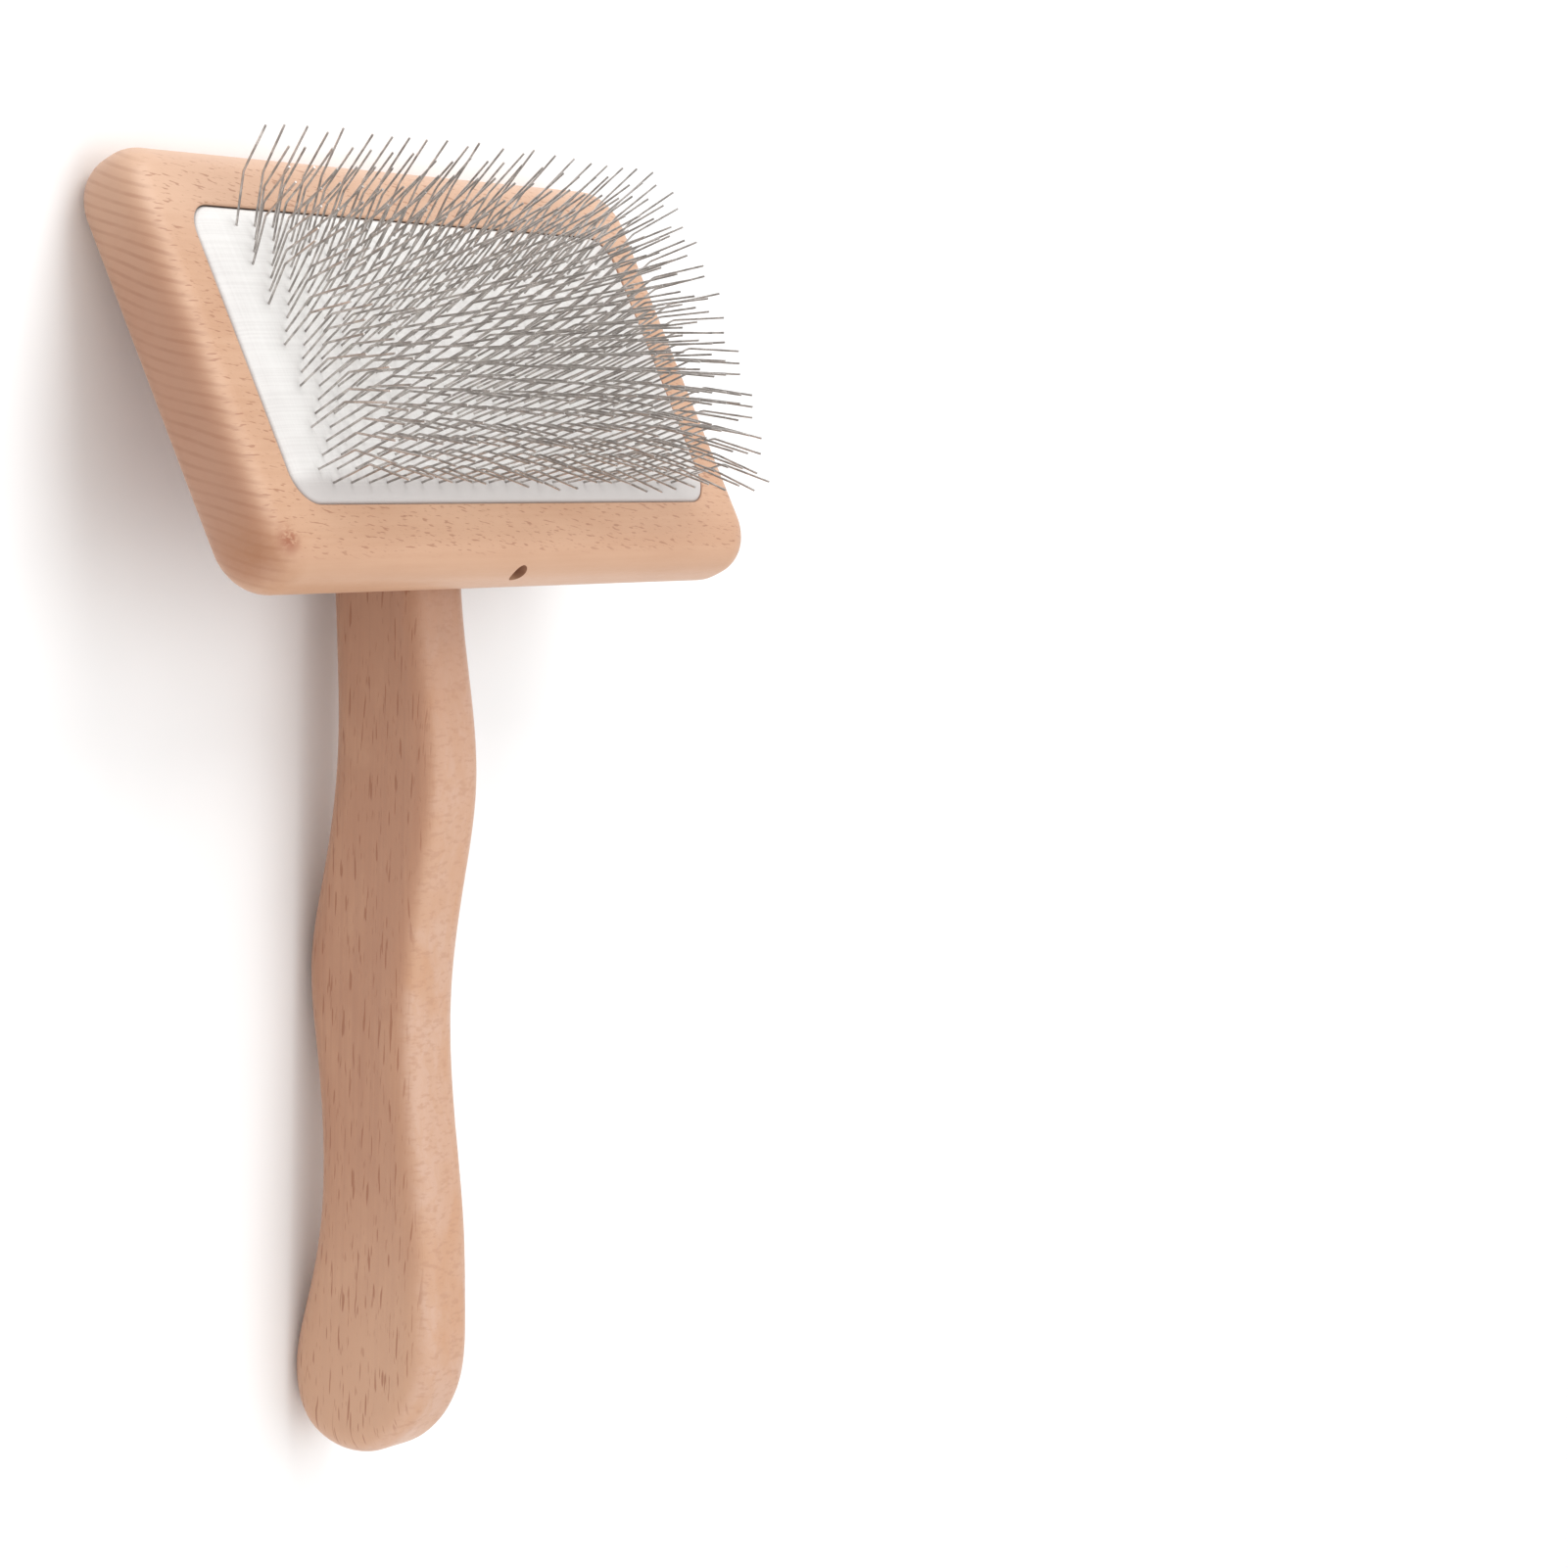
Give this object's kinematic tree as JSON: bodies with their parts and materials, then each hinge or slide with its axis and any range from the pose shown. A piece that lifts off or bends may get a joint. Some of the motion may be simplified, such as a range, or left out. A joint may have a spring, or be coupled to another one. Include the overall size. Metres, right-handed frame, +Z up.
{
  "type": "slicker brush",
  "caption": "Wooden pet slicker brush: a rounded head block with a cushioned pad of bent steel pins, and a waved handle set at an angle to its back.",
  "frame": {"origin": "middle of the brush's footprint on the table that it lies on, at the height of the table", "axes": "+Y from the handle's end towards the head, +Z up from the table, +X across the head to the right seen from above with the handle nearest"},
  "size_m": [0.15, 0.2314, 0.0584],
  "materials": {
    "beech_head": "satin lacquer",
    "beech_handle": "satin lacquer",
    "screw_steel": "zinc plated",
    "dowel_beech": "bare",
    "membrane_rubber": "matte",
    "backing_rubber": "matte",
    "felt": "wool felt",
    "facing_cloth": "rubberised cotton cloth",
    "pin_steel": "bright drawn wire"
  },
  "bodies": {
    "brush": {"head_block": "beech_head", "handle": "beech_handle", "handle_screws": "screw_steel", "handle_dowel": "dowel_beech", "membrane": "membrane_rubber"},
    "pad": {"pad_backing": "backing_rubber", "pad_felt": "felt", "pad_face": "facing_cloth", "pin_row_01": "pin_steel", "pin_row_02": "pin_steel", "pin_row_03": "pin_steel", "pin_row_04": "pin_steel", "pin_row_05": "pin_steel", "pin_row_06": "pin_steel", "pin_row_07": "pin_steel", "pin_row_08": "pin_steel", "pin_row_09": "pin_steel", "pin_row_10": "pin_steel", "pin_row_11": "pin_steel", "pin_row_12": "pin_steel", "pin_row_13": "pin_steel", "pin_row_14": "pin_steel", "pin_row_15": "pin_steel", "pin_row_16": "pin_steel", "pin_row_17": "pin_steel", "pin_row_18": "pin_steel", "pin_row_19": "pin_steel", "pin_row_20": "pin_steel"}
  },
  "joints": [
    {"name": "pad_press", "type": "slide", "parent": "brush", "child": "pad", "axis": [0, -0.4508, -0.8926], "range_m": [0, 0.0035], "stiffness_N_per_m": 3000, "deforming": ["membrane"]}
  ]
}
